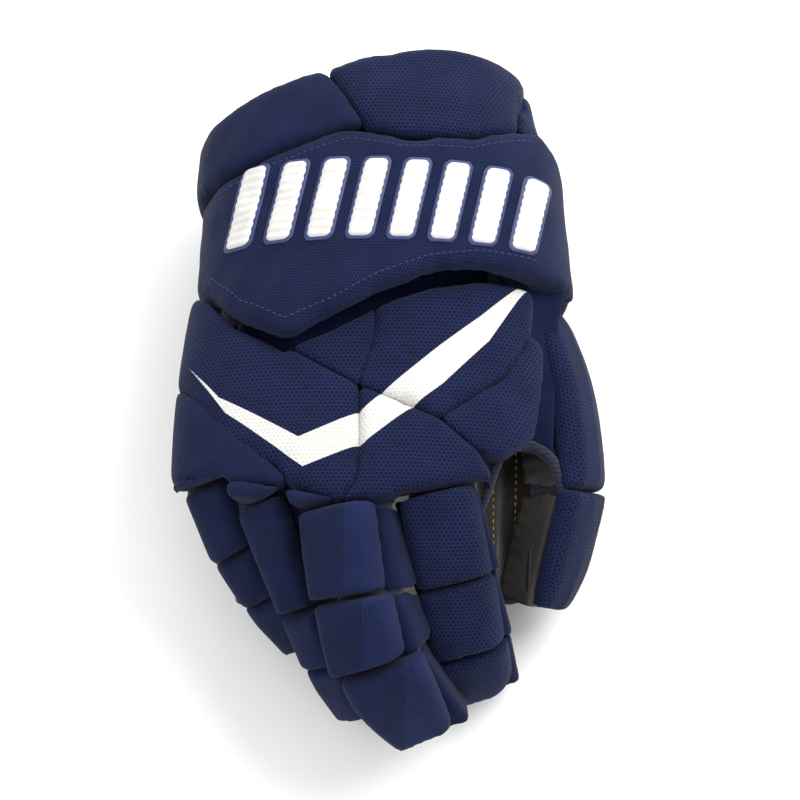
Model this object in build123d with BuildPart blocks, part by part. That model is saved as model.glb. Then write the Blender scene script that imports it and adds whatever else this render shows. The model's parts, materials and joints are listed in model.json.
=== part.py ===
"""Padded ice-hockey glove, right hand, lying palm down.

+X points to the thumb side, +Y to the cuff, +Z up through the backhand. Z = 0 is the surface
the glove lies on. Millimetres throughout.
"""
from build123d import *
from math import copysign, cos, pi, radians, sin, tan
import os

# ---------------------------------------------------------------- driving dimensions
SKIN = 2.0                 # fabric, backing and stitching of a pad's cover
FIT = 0.25                 # air between a foam core and its cover, and between stacked layers
CREASE = 0.9               # crease between two neighbouring backhand pads
LEATHER = 1.8              # palm leather, backhand liner and cuff lining
INSERT = 1.6               # stiff plastic sheet under the backhand foam

# Hand: rows of (y, left, right, bottom, top) of its padded outside, wrist to knuckles
HAND_ROWS = [(58, -88, 74, 28, 98), (0, -96, 72, 40, 101), (-74, -96, 50, 50, 100)]
# Hand: the same rows for the sleeve of leather and liner that the hand goes into
SLEEVE_ROWS = [(88, -64, 44, 22, 80), (45, -68, 49, 28, 81), (0, -79, 50, 42, 83), (-74, -84, 44, 52, 84)]
SEAM_HEIGHT = 56           # where the palm leather meets the liner on the sides of the sleeve
PAD_EDGE_HEIGHT = 60       # how far down the sides the backhand pads reach

# Cuff: rows of the wide band, the roll above it and the lining inside both
BAND_ROWS = [(5, -91, 89, 0, 114), (135, -84, 79, 3, 111)]
ROLL_ROWS = [(90, -89, 74, 3, 112), (128, -88, 71, 4, 111), (166, -80, 62, 8, 103)]
LINING_ROWS = [(8, -80, 78, 10, 104), (97, -75, 62, 13, 101), (158, -70, 52, 17, 93)]
# Stiff sheet: its plan outline and how far down the sides it reaches
INSERT_OUTLINE = [(-66, 22), (-60, -44), (20, -46), (44, 20), (10, 38), (-40, 8)]
INSERT_HEIGHT = 76
CUFF_OPEN_HEIGHT = 24      # below this the cuff is open towards the inner wrist
STRAP = dict(left=-44, right=36, front=64, back=112, thick=3.2, corner=6)
WRIST = (0, 44, 88)        # a point of the wrist hinge, where the band meets the backhand
CUFF_TILT = 6.0            # how far the cuff tilts each way
CUFF_CLEARANCE = 3.4       # air ahead of the band, so that the cuff can tilt on the wrist hinge

# Plan outlines, seen from above the backhand, as (x, y)
BAND_FRONT = [(-100, 62), (-90, 52), (-67, 25), (-46, 13), (-26, 22), (-4, 34), (19, 43), (42, 48), (100, 47)]
BAND_BACK = [(100, 112), (81, 115), (71, 124), (38, 111), (6, 110), (-17, 115), (-64, 100), (-100, 92)]
ROLL_OUTLINES = {
    "ulnar": [(-100, 93), (-64, 101), (-17, 116), (-9, 114), (-20, 132), (-30, 147), (-55, 139),
              (-74, 131), (-100, 124)],
    "dorsal": [(-9, 114), (6, 111), (38, 112), (60, 121), (60, 128), (65, 158), (29, 161), (-6, 155),
               (-30, 147), (-20, 132)],
    "radial": [(60, 121), (71, 125), (100, 118), (100, 140), (76, 150), (65, 158), (60, 128)],
}

LINING_OUTLINE = [(-100, 64), (-88, 54), (-67, 28), (-46, 16), (-26, 25), (-4, 37), (19, 46), (42, 51),
                  (100, 50), (100, 138), (76, 148), (64, 155), (29, 157), (-6, 152), (-55, 136),
                  (-74, 128), (-100, 121)]

PAD_OUTLINES = {
    "upper_ulnar": [(-52, 24), (-44, 11), (-13, -8), (-6, 18), (-5, 44), (-30, 34)],
    "lower_ulnar": [(-100, 47), (-88, 44), (-44, 11), (-13, -8), (-13, -35), (-14, -53), (-21, -62),
                    (-43, -53), (-71, -26), (-100, 4)],
    "upper_radial": [(-5, 44), (-6, 18), (-13, -8), (5, -15), (23, -23), (53, -1), (65, 23), (67, 43),
                     (42, 56), (19, 53)],
    "mid_radial": [(23, -23), (53, -1), (65, 23), (71, 18), (71, -22), (51, -38), (40, -37)],
    "lower_radial": [(-13, -8), (5, -15), (23, -23), (40, -37), (46, -46), (44, -60), (-20, -66),
                     (-21, -62), (-14, -53), (-13, -35)],
    "side": [(-100, 4), (-71, -26), (-45, -51), (-50, -54.5), (-60, -53), (-100, -46)],
}
RADIAL_EDGE_HEIGHT = 78    # the thumb-side pads stop higher up, over the thumb
KNUCKLE_ROLL = [(-100, -46), (-60, -53), (-21, -61), (-21, -68), (-60, -60), (-100, -53)]

# Digits: pad and stall width, pad depth, stall above and below the joint axis, first joint, and
# for each segment its sweep towards the thumb, its dip, its roll (degrees) and its length
FINGERS = {
    "little": dict(width=23, stall=18, pad=10, above=9, below=10, base=(-78.5, -42, 63.5),
                   sweep=(26, 41, 45), dip=(30, 38, 43), roll=(26, 35, 42), length=(29, 24, 33)),
    "ring": dict(width=23.5, stall=19, pad=11, above=9, below=10, base=(-50.5, -53, 70),
                 sweep=(26, 30, 36), dip=(22, 39, 48), roll=(27, 40, 50), length=(47, 26, 33)),
    "middle": dict(width=36, stall=23, pad=12, above=10, below=10, base=(-13, -61, 80),
                   sweep=(8, 15, 30), dip=(9, 30, 46), roll=(21, 24, 20), length=(37, 27, 40)),
    "index": dict(width=35, stall=25, pad=12, above=10, below=10, base=(24.5, -50, 72),
                  sweep=(14, 15, 16), dip=(25, 41, 62), roll=(6, 6, 2), length=(37, 30, 30)),
}
THUMB = dict(width=36, stall=28, pad=9.5, above=7, below=12, base=(67.5, 38, 52),
             sweep=(9, -15), dip=(6, 22), roll=(-65, -65), length=(79, 54))
STALL_WALL = 1.8           # leather and lining of a finger stall
STALL_CORNER = 3.0         # rounding of a stall's dorsal edges
PAD_CORNER = 6.0           # rounding of a digit pad's dorsal edges
TIP_WALL = 3.0             # closed end of a stall
PAD_BASE_GAP = 0.3         # between a stall and the pad sewn on it
JOINT_GAP = 0.8            # half the gap between two segments at their joint axis
PALMAR_SLACK = 8.0         # degrees that each segment is cut back beyond its travel, under a joint
DORSAL_SLACK = 3.0         # the same, over a joint
FLEX = 18.0                # how far each finger joint closes from rest
EXTEND = 4.0               # how far it opens
THUMB_FLEX = 0.0           # at rest the thumb already lies against the index finger
THUMB_EXTEND = 18.0
HAND_RELIEF_MARGIN = 4.0   # how much wider than a digit its cut in the hand is, on each side
REACH = 70.0               # long enough to pass through any segment
FAR = 200.0                # beyond the whole glove
OVERRUN = 1.0              # how far a cutting body runs past what it cuts


# ---------------------------------------------------------------- shared shapes
def oval(left, right, bottom, top, power=2.4, count=16):
    """Closed curve through four extremes, squarer than an ellipse."""
    centre_x, centre_z = (left + right) / 2, (bottom + top) / 2
    half_x, half_z = (right - left) / 2, (top - bottom) / 2
    points = []
    for i in range(count):
        c, s = cos(2 * pi * i / count), sin(2 * pi * i / count)
        points.append((centre_x + half_x * copysign(abs(c) ** (2 / power), c),
                       centre_z + half_z * copysign(abs(s) ** (2 / power), s)))
    Spline(*points, periodic=True)


def form(rows, inset=0.0):
    """Solid through the rows' ovals, each drawn in by inset."""
    with BuildPart() as solid:
        for y, left, right, bottom, top in rows:
            with BuildSketch(Plane.XZ.offset(-y)):
                with BuildLine():
                    oval(left + inset, right - inset, bottom + inset, top - inset)
                make_face()
        loft()
    return solid.part


def column(outline, low, high, inset=0.0):
    """Upright prism over a plan outline, its sides drawn in by inset."""
    with BuildPart() as solid:
        with BuildSketch(Plane.XY.offset(low)):
            with BuildLine():
                Polyline(*outline, close=True)
            make_face()
            if inset:
                offset(amount=-inset, kind=Kind.INTERSECTION, mode=Mode.REPLACE)
        extrude(amount=high - low)
    return solid.part


def segment_axes(sweep, dip, roll):
    """Distal, lateral and dorsal directions of a segment."""
    forward = Vector(sin(radians(sweep)), -cos(radians(sweep)), 0)
    lateral = Vector(cos(radians(sweep)), sin(radians(sweep)), 0)
    distal = forward * cos(radians(dip)) - Vector(0, 0, 1) * sin(radians(dip))
    dorsal = forward * sin(radians(dip)) + Vector(0, 0, 1) * cos(radians(dip))
    turned_lateral = lateral * cos(radians(roll)) + dorsal * sin(radians(roll))
    turned_dorsal = dorsal * cos(radians(roll)) - lateral * sin(radians(roll))
    return distal, turned_lateral, turned_dorsal


def digit_chain(digit):
    """Joint points and segment axes from the digit's base to its tip."""
    joints = [Vector(*digit["base"])]
    axes = []
    for sweep, dip, roll, length in zip(digit["sweep"], digit["dip"], digit["roll"], digit["length"]):
        axes.append(segment_axes(sweep, dip, roll))
        joints.append(joints[-1] + axes[-1][0] * length)
    return joints, axes


def joint_plane(joint, before, after):
    """Plane seen from the side of a joint: x distal, y dorsal, z along the hinge axis."""
    lateral = after[1]
    distal = before[0] + after[0]
    distal = (distal - lateral * distal.dot(lateral)).normalized()
    return Plane(origin=joint, x_dir=distal, z_dir=-lateral)


def joint_relief(plane, side, flex, extend, half_width):
    """Everything on one side of a joint, less the angle that the neighbour keeps."""
    palmar = REACH * tan(radians(flex / 2 + PALMAR_SLACK))
    dorsal = REACH * tan(radians(extend / 2 + DORSAL_SLACK))
    outline = [(-JOINT_GAP, 0), (-JOINT_GAP - dorsal, REACH), (2 * REACH, REACH), (2 * REACH, -REACH),
               (-JOINT_GAP - palmar, -REACH)]
    with BuildPart() as solid:
        with BuildSketch(plane):
            with BuildLine():
                Polyline(*[(side * x, y) for x, y in outline], close=True)
            make_face()
        extrude(amount=half_width, both=True)
    return solid.part


def segment_bar(joint, axes, length, before, after, width, low, high, corner):
    """Bar along a segment with rounded dorsal corners, running past its two joints."""
    distal, lateral, _ = axes
    with BuildPart() as bar:
        with BuildSketch(Plane(origin=joint - distal * before, x_dir=lateral, z_dir=distal)) as section:
            with Locations((0, (low + high) / 2)):
                Rectangle(width, high - low)
            fillet(section.vertices().sort_by(Axis.Y)[-2:], corner)
        extrude(amount=before + length + after)
    return bar.part


def save(part, name):
    part.label = name
    export_step(part, f"parts/{name}.step")


os.makedirs("parts", exist_ok=True)


# ---------------------------------------------------------------- digits
def build_digit(name, digit, flex, extend):
    """Saves one digit's stalls, pad covers and foams; returns what it needs cut from the hand."""
    joints, axes = digit_chain(digit)
    width, above, below = digit["width"], digit["above"], digit["below"]
    base, crown = above + PAD_BASE_GAP, above + PAD_BASE_GAP + digit["pad"]
    count = len(axes)
    hand_axes = segment_axes(digit["sweep"][0], 0, digit["roll"][0])
    planes = [joint_plane(joints[0], hand_axes, axes[0])]
    planes += [joint_plane(joints[i], axes[i - 1], axes[i]) for i in range(1, count)]

    for i in range(count):
        last = i == count - 1
        overrun = crown / 2
        after = 0 if last else overrun

        def bar(bar_width, low, high, corner, end=after):
            return segment_bar(joints[i], axes[i], digit["length"][i], overrun, end, bar_width, low,
                               high, corner)

        def trim_ends(extra=0.0):
            """Cuts the current part back to its joints, and by extra more."""
            start = planes[i].moved(Location(planes[i].x_dir * extra))
            add(joint_relief(start, -1, flex, extend, width), mode=Mode.SUBTRACT)
            if not last:
                end = planes[i + 1].moved(Location(planes[i + 1].x_dir * -extra))
                add(joint_relief(end, 1, flex, extend, width), mode=Mode.SUBTRACT)

        with BuildPart() as stall:
            add(bar(digit["stall"], -below, above, STALL_CORNER))
            add(bar(digit["stall"] - 2 * STALL_WALL, STALL_WALL - below, above - STALL_WALL,
                    STALL_CORNER - STALL_WALL, end=-TIP_WALL if last else after), mode=Mode.SUBTRACT)
            trim_ends()
        save(stall.part, f"{name}_stall_{i + 1}")

        inner_end = -SKIN if last else after
        with BuildPart() as hollow:
            add(bar(width - 2 * SKIN, base - OVERRUN, crown - SKIN, PAD_CORNER - SKIN, end=inner_end))
            trim_ends(SKIN)
        with BuildPart() as cover:
            add(bar(width, base, crown, PAD_CORNER))
            trim_ends()
            add(hollow.part, mode=Mode.SUBTRACT)
        save(cover.part, f"{name}_pad_{i + 1}")

        with BuildPart() as foam:
            add(bar(width - 2 * (SKIN + FIT), base, crown - SKIN - FIT, PAD_CORNER - SKIN,
                    end=inner_end and inner_end - FIT))
            trim_ends(SKIN + FIT)
        save(foam.part, f"{name}_foam_{i + 1}")
    return joint_relief(planes[0], 1, flex, extend, width / 2 + HAND_RELIEF_MARGIN)


finger_reliefs = [build_digit(finger_name, finger, FLEX, EXTEND) for finger_name, finger in FINGERS.items()]
build_digit("thumb", THUMB, THUMB_FLEX, THUMB_EXTEND)

# ---------------------------------------------------------------- hand
cuff_zone = column(BAND_FRONT + [(FAR, BAND_FRONT[-1][1]), (FAR, FAR), (-FAR, FAR), (-FAR, BAND_FRONT[0][1])],
                   -OVERRUN, FAR, -CUFF_CLEARANCE)
sleeve = form(SLEEVE_ROWS)
sleeve_hollow = form([(y + copysign(OVERRUN, y), *rest) for y, *rest in SLEEVE_ROWS], LEATHER)
hand_outside = form(HAND_ROWS)
hand_skinned = form(HAND_ROWS, SKIN)
pad_floor = form(SLEEVE_ROWS, -(INSERT + 2 * FIT))

with BuildPart() as palm:
    add(sleeve)
    add(sleeve_hollow, mode=Mode.SUBTRACT)
    split(bisect_by=Plane.XY.offset(SEAM_HEIGHT), keep=Keep.BOTTOM)
    for relief in finger_reliefs:
        add(relief, mode=Mode.SUBTRACT)
save(palm.part, "palm")

with BuildPart() as liner:
    add(sleeve)
    add(sleeve_hollow, mode=Mode.SUBTRACT)
    split(bisect_by=Plane.XY.offset(SEAM_HEIGHT), keep=Keep.TOP)
    for relief in finger_reliefs:
        add(relief, mode=Mode.SUBTRACT)
save(liner.part, "backhand_liner")


# ---------------------------------------------------------------- backhand pads
def pad_body(outline, low, outside, skin=0.0):
    """Backhand pad between the glove's outside and the insert, over one plan outline."""
    with BuildPart() as body:
        add(column(outline, low, FAR, CREASE / 2 + skin))
        add(outside, mode=Mode.INTERSECT)
        add(pad_floor, mode=Mode.SUBTRACT)
        add(cuff_zone, mode=Mode.SUBTRACT)
        for relief in finger_reliefs:
            add(relief, mode=Mode.SUBTRACT)
    return body.part


backhand_foams = []
for pad_name, pad_outline in PAD_OUTLINES.items():
    low = RADIAL_EDGE_HEIGHT if "radial" in pad_name else PAD_EDGE_HEIGHT
    core = pad_body(pad_outline, low + SKIN, hand_skinned, SKIN)
    with BuildPart() as cover:
        add(pad_body(pad_outline, low, hand_outside))
        add(core, mode=Mode.SUBTRACT)
    save(cover.part, f"backhand_pad_{pad_name}")
    backhand_foams.append(core)

with BuildPart() as backhand_foam:
    for core in backhand_foams:
        add(core)
save(backhand_foam.part, "backhand_foam")

with BuildPart() as knuckle_roll:
    add(pad_body(KNUCKLE_ROLL, PAD_EDGE_HEIGHT, hand_outside))
save(knuckle_roll.part, "knuckle_roll")

with BuildPart() as backhand_insert:
    add(column(INSERT_OUTLINE, INSERT_HEIGHT, FAR))
    add(form(SLEEVE_ROWS, -(INSERT + FIT)), mode=Mode.INTERSECT)
    add(form(SLEEVE_ROWS, -FIT), mode=Mode.SUBTRACT)
save(backhand_insert.part, "backhand_insert")

# ---------------------------------------------------------------- cuff
lining_outside = form(LINING_ROWS, -FIT)


def cuff_ring(plan, rows, skin=0.0):
    """Cuff piece over one plan outline, between its outside and the lining."""
    with BuildPart() as ring:
        add(column(plan, CUFF_OPEN_HEIGHT + skin, FAR, CREASE / 2 + skin))
        add(form(rows, skin), mode=Mode.INTERSECT)
        add(lining_outside, mode=Mode.SUBTRACT)
    return ring.part


cuff_pieces = {"cuff_band": (BAND_FRONT + BAND_BACK, BAND_ROWS)}
for roll_name, roll_outline in ROLL_OUTLINES.items():
    cuff_pieces[f"cuff_roll_{roll_name}"] = (roll_outline, ROLL_ROWS)

cuff_cores = {}
for piece_name, (plan, rows) in cuff_pieces.items():
    cuff_cores[piece_name] = cuff_ring(plan, rows, SKIN)
    with BuildPart() as cover:
        add(cuff_ring(plan, rows))
        add(cuff_cores[piece_name], mode=Mode.SUBTRACT)
    save(cover.part, piece_name)

with BuildPart() as cuff_foam:
    for core in cuff_cores.values():
        add(core)
save(cuff_foam.part, "cuff_foam")

with BuildPart() as cuff_lining:
    add(column(LINING_OUTLINE, -OVERRUN, FAR))
    add(form(LINING_ROWS), mode=Mode.INTERSECT)
    add(form(LINING_ROWS, LEATHER), mode=Mode.SUBTRACT)
save(cuff_lining.part, "cuff_lining")

# The strap closes the cuff across the inner wrist; its flat sole is what the cuff rests on
with BuildPart() as wrist_strap:
    add(form(BAND_ROWS))
    add(lining_outside, mode=Mode.SUBTRACT)
    with BuildSketch(Plane.XY.offset(-OVERRUN)):
        with Locations((0, (STRAP["front"] + STRAP["back"]) / 2)):
            Rectangle(FAR, STRAP["back"] - STRAP["front"])
    extrude(amount=CUFF_OPEN_HEIGHT - FIT + OVERRUN, mode=Mode.INTERSECT)
    with BuildSketch(Plane.XY):
        with Locations(((STRAP["left"] + STRAP["right"]) / 2, (STRAP["front"] + STRAP["back"]) / 2)):
            RectangleRounded(STRAP["right"] - STRAP["left"], STRAP["back"] - STRAP["front"],
                             STRAP["corner"])
    extrude(amount=STRAP["thick"])
save(wrist_strap.part, "wrist_strap")
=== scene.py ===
"""Looks of a padded ice-hockey glove, right hand, lying palm down.

Every pad is cut, remeshed, blown up a little and covered in its own cloth; the leather palm and
stalls, the cuff, the stitching and the printed stripe follow. Lengths are in metres in code
and in millimetres where a name or a comment says so.
"""

import json
from math import cos, pi, sin, sqrt

import bmesh
import bpy
import numpy as np
from bpy.props import FloatProperty, IntProperty, StringProperty
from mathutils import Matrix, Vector
from mathutils.bvhtree import BVHTree


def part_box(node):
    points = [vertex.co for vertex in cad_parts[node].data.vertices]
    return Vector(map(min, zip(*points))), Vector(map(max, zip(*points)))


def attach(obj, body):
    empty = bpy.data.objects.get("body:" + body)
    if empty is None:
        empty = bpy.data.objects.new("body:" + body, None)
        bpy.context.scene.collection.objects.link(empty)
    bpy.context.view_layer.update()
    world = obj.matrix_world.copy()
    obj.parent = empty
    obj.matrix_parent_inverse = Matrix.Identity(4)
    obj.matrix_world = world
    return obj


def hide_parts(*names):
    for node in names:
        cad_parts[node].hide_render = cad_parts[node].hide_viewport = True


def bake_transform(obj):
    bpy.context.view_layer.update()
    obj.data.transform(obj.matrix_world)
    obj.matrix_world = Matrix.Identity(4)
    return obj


bl_info = {
    "name": "Hockey Glove",
    "version": (1, 0, 0),
    "blender": (4, 5, 0),
    "location": "View3D > Sidebar > Glove",
    "description": "Builds the padded pads, leather, cuff and trim of an ice-hockey glove",
    "category": "Object",
}

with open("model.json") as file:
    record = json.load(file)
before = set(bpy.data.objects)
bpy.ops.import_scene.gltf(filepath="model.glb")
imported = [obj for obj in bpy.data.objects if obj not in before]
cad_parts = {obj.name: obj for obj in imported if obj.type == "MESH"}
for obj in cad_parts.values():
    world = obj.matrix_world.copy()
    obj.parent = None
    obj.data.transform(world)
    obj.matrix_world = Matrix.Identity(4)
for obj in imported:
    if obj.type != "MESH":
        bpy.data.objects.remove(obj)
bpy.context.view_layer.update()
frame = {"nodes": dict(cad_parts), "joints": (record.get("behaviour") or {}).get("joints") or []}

MM = 0.001
FINGERS = ("little", "ring", "middle", "index")
BACKHAND_PADS = ("upper_ulnar", "lower_ulnar", "upper_radial", "mid_radial", "lower_radial", "side")
ROLLS = ("ulnar", "dorsal", "radial")
PLAN = ((1, 0, 0), (0, 1, 0))    # cloth laid flat over the glove, as seen from above
MERGE = 2e-6          # vertices of a CAD mesh closer than this are one
WHOLE_SHARE = 0.99    # a skin's loose parts narrower than this share of the widest are sealed inside
CRUMB_SHARE = 0.3     # the same share for a piece that really has several parts


# ------------------------------------------------------------------ settings
class GloveCloth(bpy.types.PropertyGroup):
    """Colours and thread spacings of the glove's cloth and leather."""

    navy: StringProperty(name="Navy", description="Dyed polyester of the pads, sRGB hex", default="121b3c")
    print_white: StringProperty(name="Print", description="Printed stripe, sRGB hex", default="cbc9c5")
    leather: StringProperty(name="Leather", description="Palm leather, sRGB hex", default="24221f")
    gold: StringProperty(name="Thread", description="Contrast stitching, sRGB hex", default="a58d4c")
    hole_pitch: FloatProperty(name="Mesh pitch", description="Spacing of the mesh's holes",
                              default=2.0 * MM, unit="LENGTH")
    weave_pitch: FloatProperty(name="Weave pitch", description="Spacing of the cross weave with painted highlight",
                               default=1.5 * MM, unit="LENGTH")
    knit_pitch: FloatProperty(name="Knit pitch", description="Spacing of the fine knit", default=1.3 * MM,
                              unit="LENGTH")


class GlovePadding(bpy.types.PropertyGroup):
    """How the pads are remeshed and filled."""

    finger_voxel: FloatProperty(name="Finger voxel", description="Remesh size of the digit pads",
                                default=1.3 * MM, unit="LENGTH")
    hand_voxel: FloatProperty(name="Hand voxel", description="Remesh size of the backhand pads",
                              default=1.6 * MM, unit="LENGTH")
    cuff_voxel: FloatProperty(name="Cuff voxel", description="Remesh size of the cuff and its roll",
                              default=2.2 * MM, unit="LENGTH")
    shell_voxel: FloatProperty(name="Shell voxel", description="Remesh size of thin leather and linings",
                               default=1.1 * MM, unit="LENGTH")
    pressure: FloatProperty(name="Pressure", description="Air pressure that fills a pad",
                            default=4.0, min=0)
    frames: IntProperty(name="Frames", description="How long a pad is blown up", default=16, min=2)


# ------------------------------------------------------------------ node helpers
def linear(code):
    """Linear RGBA of an sRGB hex colour."""
    channels = [int(code[i:i + 2], 16) / 255 for i in (0, 2, 4)]
    return (*[c / 12.92 if c <= 0.04045 else ((c + 0.055) / 1.055) ** 2.4 for c in channels], 1.0)


def shade(code, factor):
    """The same hue, lighter or darker."""
    r, g, b, a = linear(code)
    return (r * factor, g * factor, b * factor, a)


def fill(tree, node, inputs):
    """Sets a node's inputs: one that is a socket is linked, and any other is its value."""
    for key, value in inputs.items():
        if isinstance(value, bpy.types.NodeSocket):
            tree.links.new(value, node.inputs[key])
        else:
            node.inputs[key].default_value = value


def put(tree, kind, inputs=None, **settings):
    """Adds a node with its settings and inputs."""
    made = tree.nodes.new(kind)
    for key, value in settings.items():
        setattr(made, key, value)
    fill(tree, made, inputs or {})
    return made


def blended(tree, factor, low, high):
    """Colour between two others."""
    return put(tree, "ShaderNodeMix", {0: factor, 6: low, 7: high}, data_type="RGBA").outputs[2]


def raised(tree, strength, distance, height):
    """Normal of a surface embossed by a height."""
    return put(tree, "ShaderNodeBump", {"Strength": strength, "Distance": distance,
                                        "Height": height}).outputs[0]


def new_material(name):
    """Empty material with its output and a principled shader."""
    material = bpy.data.materials.new(name)
    material.use_nodes = True
    tree = material.node_tree
    tree.nodes.clear()
    shader = put(tree, "ShaderNodeBsdfPrincipled")
    put(tree, "ShaderNodeOutputMaterial", {"Surface": shader.outputs[0]})
    return material, tree, shader


def lattice(tree, cloth, pitch, turn=0.0, stretch=1.0, row=sqrt(3)):
    """Distance from the nearest hole of a staggered lattice, in pitches."""
    turned = put(tree, "ShaderNodeMapping", {"Vector": cloth, "Rotation": (0, 0, turn),
                                             "Scale": (1 / pitch, 1 / (pitch * stretch), 0)})
    nearest = []
    for shift in ((0, 0, 0), (0.5, row / 2, 0)):
        moved = put(tree, "ShaderNodeVectorMath", {0: turned.outputs[0], 1: shift}, operation="ADD")
        limits = {1: (0.5, row / 2, 0.5), 2: (-0.5, -row / 2, -0.5)}
        cell = put(tree, "ShaderNodeVectorMath", {0: moved.outputs[0], **limits}, operation="WRAP")
        far = put(tree, "ShaderNodeVectorMath", {0: cell.outputs[0]}, operation="LENGTH")
        nearest.append(far.outputs["Value"])
    return put(tree, "ShaderNodeMath", {0: nearest[0], 1: nearest[1]}, operation="MINIMUM").outputs[0]


def ramp(tree, value, low, high, to_low=0.0, to_high=1.0):
    """Smooth step of a value."""
    return put(tree, "ShaderNodeMapRange", {0: value, 1: low, 2: high, 3: to_low, 4: to_high},
               interpolation_type="SMOOTHSTEP").outputs[0]


def cloth_material(name, pitch, turn=0.0, stretch=1.0, hole=(0.2, 0.42), dark=0.3, tint=1.0,
                   depth=0.5, row=sqrt(3)):
    """Dyed polyester cloth with a lattice of holes or stitches.

    The eye gets a matt navy with a regular dark mesh, a soft sheen at the edges and faint
    uneven dye.
    """
    colours = bpy.context.scene.glove_cloth
    material, tree, shader = new_material(name)
    cloth = put(tree, "ShaderNodeUVMap", uv_map="cloth").outputs[0]
    threads = ramp(tree, lattice(tree, cloth, pitch, turn, stretch, row), *hole)
    place = put(tree, "ShaderNodeTexCoord").outputs["Object"]
    dye = put(tree, "ShaderNodeTexNoise", {"Vector": place, "Scale": 60.0, "Detail": 3.0}).outputs[0]
    fuzz = put(tree, "ShaderNodeTexNoise", {"Vector": place, "Scale": 1400.0, "Detail": 2.0}).outputs[0]
    plain = blended(tree, ramp(tree, dye, 0.3, 0.7), shade(colours.navy, 0.82 * tint),
                    shade(colours.navy, 1.15 * tint))
    fuzzy = blended(tree, ramp(tree, fuzz, 0.3, 0.75, 0.0, 0.35), plain, shade(colours.navy, 1.9 * tint))
    stripe = put(tree, "ShaderNodeAttribute", attribute_name="stripe").outputs["Fac"]
    inside = ramp(tree, stripe, 0.0, 0.25)
    inked = blended(tree, inside, fuzzy, linear(colours.print_white))
    pore = put(tree, "ShaderNodeMix", {0: inside, 2: dark, 3: 0.9}, data_type="FLOAT").outputs[0]
    pored = put(tree, "ShaderNodeVectorMath", {0: inked, 3: pore}, operation="SCALE").outputs[0]
    final = blended(tree, threads, pored, inked)
    height = put(tree, "ShaderNodeMath", {0: threads, 1: fuzz}, operation="ADD").outputs[0]
    fill(tree, shader, {"Base Color": final, "Normal": raised(tree, depth, 0.35 * MM, height),
                        "Roughness": 0.86, "Sheen Weight": 0.04, "Sheen Roughness": 0.5,
                        "IOR": 1.45, "Specular IOR Level": 0.14})
    return material


def leather_material(name="Pigskin-grain microfibre"):
    """Synthetic palm leather, embossed and dyed near black.

    The eye gets a satin brown-black with a fine pebble, soft creases and paler worn ridges.
    """
    colours = bpy.context.scene.glove_cloth
    material, tree, shader = new_material(name)
    place = put(tree, "ShaderNodeTexCoord").outputs["Object"]
    pebble = put(tree, "ShaderNodeTexVoronoi", {"Vector": place, "Scale": 1 / (1.1 * MM)},
                 feature="DISTANCE_TO_EDGE").outputs["Distance"]
    crease = put(tree, "ShaderNodeTexNoise", {"Vector": place, "Scale": 140.0, "Detail": 5.0,
                                              "Distortion": 0.8}).outputs[0]
    worn = put(tree, "ShaderNodeTexNoise", {"Vector": place, "Scale": 35.0, "Detail": 4.0}).outputs[0]
    colour = blended(tree, ramp(tree, worn, 0.35, 0.7), shade(colours.leather, 0.75),
                     shade(colours.leather, 1.7))
    rough = ramp(tree, worn, 0.3, 0.7, 0.42, 0.58)
    grain = ramp(tree, pebble, 0.0, 0.2)
    height = put(tree, "ShaderNodeMath", {0: grain, 1: 0.25, 2: crease},
                 operation="MULTIPLY_ADD").outputs[0]
    fill(tree, shader, {"Base Color": colour, "Roughness": rough,
                        "Normal": raised(tree, 0.55, 0.5 * MM, height), "IOR": 1.5})
    return material


def rib_material(name, tint, pitch):
    """Ribbed stretch knit.

    The eye gets soft cords side by side that follow the gusset, with painted shade darkening the grooves
    between them.
    """
    colours = bpy.context.scene.glove_cloth
    material, tree, shader = new_material(name)
    cloth = put(tree, "ShaderNodeUVMap", uv_map="cloth").outputs[0]
    rib = put(tree, "ShaderNodeTexWave", {"Vector": cloth, "Scale": 0.314 / pitch, "Distortion": 0.6},
              bands_direction="X").outputs["Fac"]
    fuzz = put(tree, "ShaderNodeTexNoise", {"Vector": cloth, "Scale": 1600.0}).outputs[0]
    # The colour follows the ribs' height: painted shade darkens the grooves between the cords.
    colour = blended(tree, rib, shade(colours.navy, 0.3 * tint), shade(colours.navy, tint))
    height = put(tree, "ShaderNodeMath", {0: fuzz, 1: 0.3, 2: rib}, operation="MULTIPLY_ADD").outputs[0]
    fill(tree, shader, {"Base Color": colour, "Normal": raised(tree, 0.7, 0.4 * MM, height),
                        "Roughness": 0.9, "Sheen Weight": 0.2})
    return material


def plain_material(name, code, roughness, grain, depth, sheen=0.0):
    """Moulded, coated or spun surface of one colour with a fine grain."""
    material, tree, shader = new_material(name)
    place = put(tree, "ShaderNodeTexCoord").outputs["Object"]
    noise = put(tree, "ShaderNodeTexNoise", {"Vector": place, "Scale": 1 / grain,
                                             "Detail": 3.0}).outputs[0]
    fill(tree, shader, {"Base Color": blended(tree, noise, shade(code, 0.86), shade(code, 1.08)),
                        "Normal": raised(tree, depth, 0.2 * MM, noise),
                        "Roughness": roughness, "Sheen Weight": sheen})
    return material


CLOTHS = {}


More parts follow.
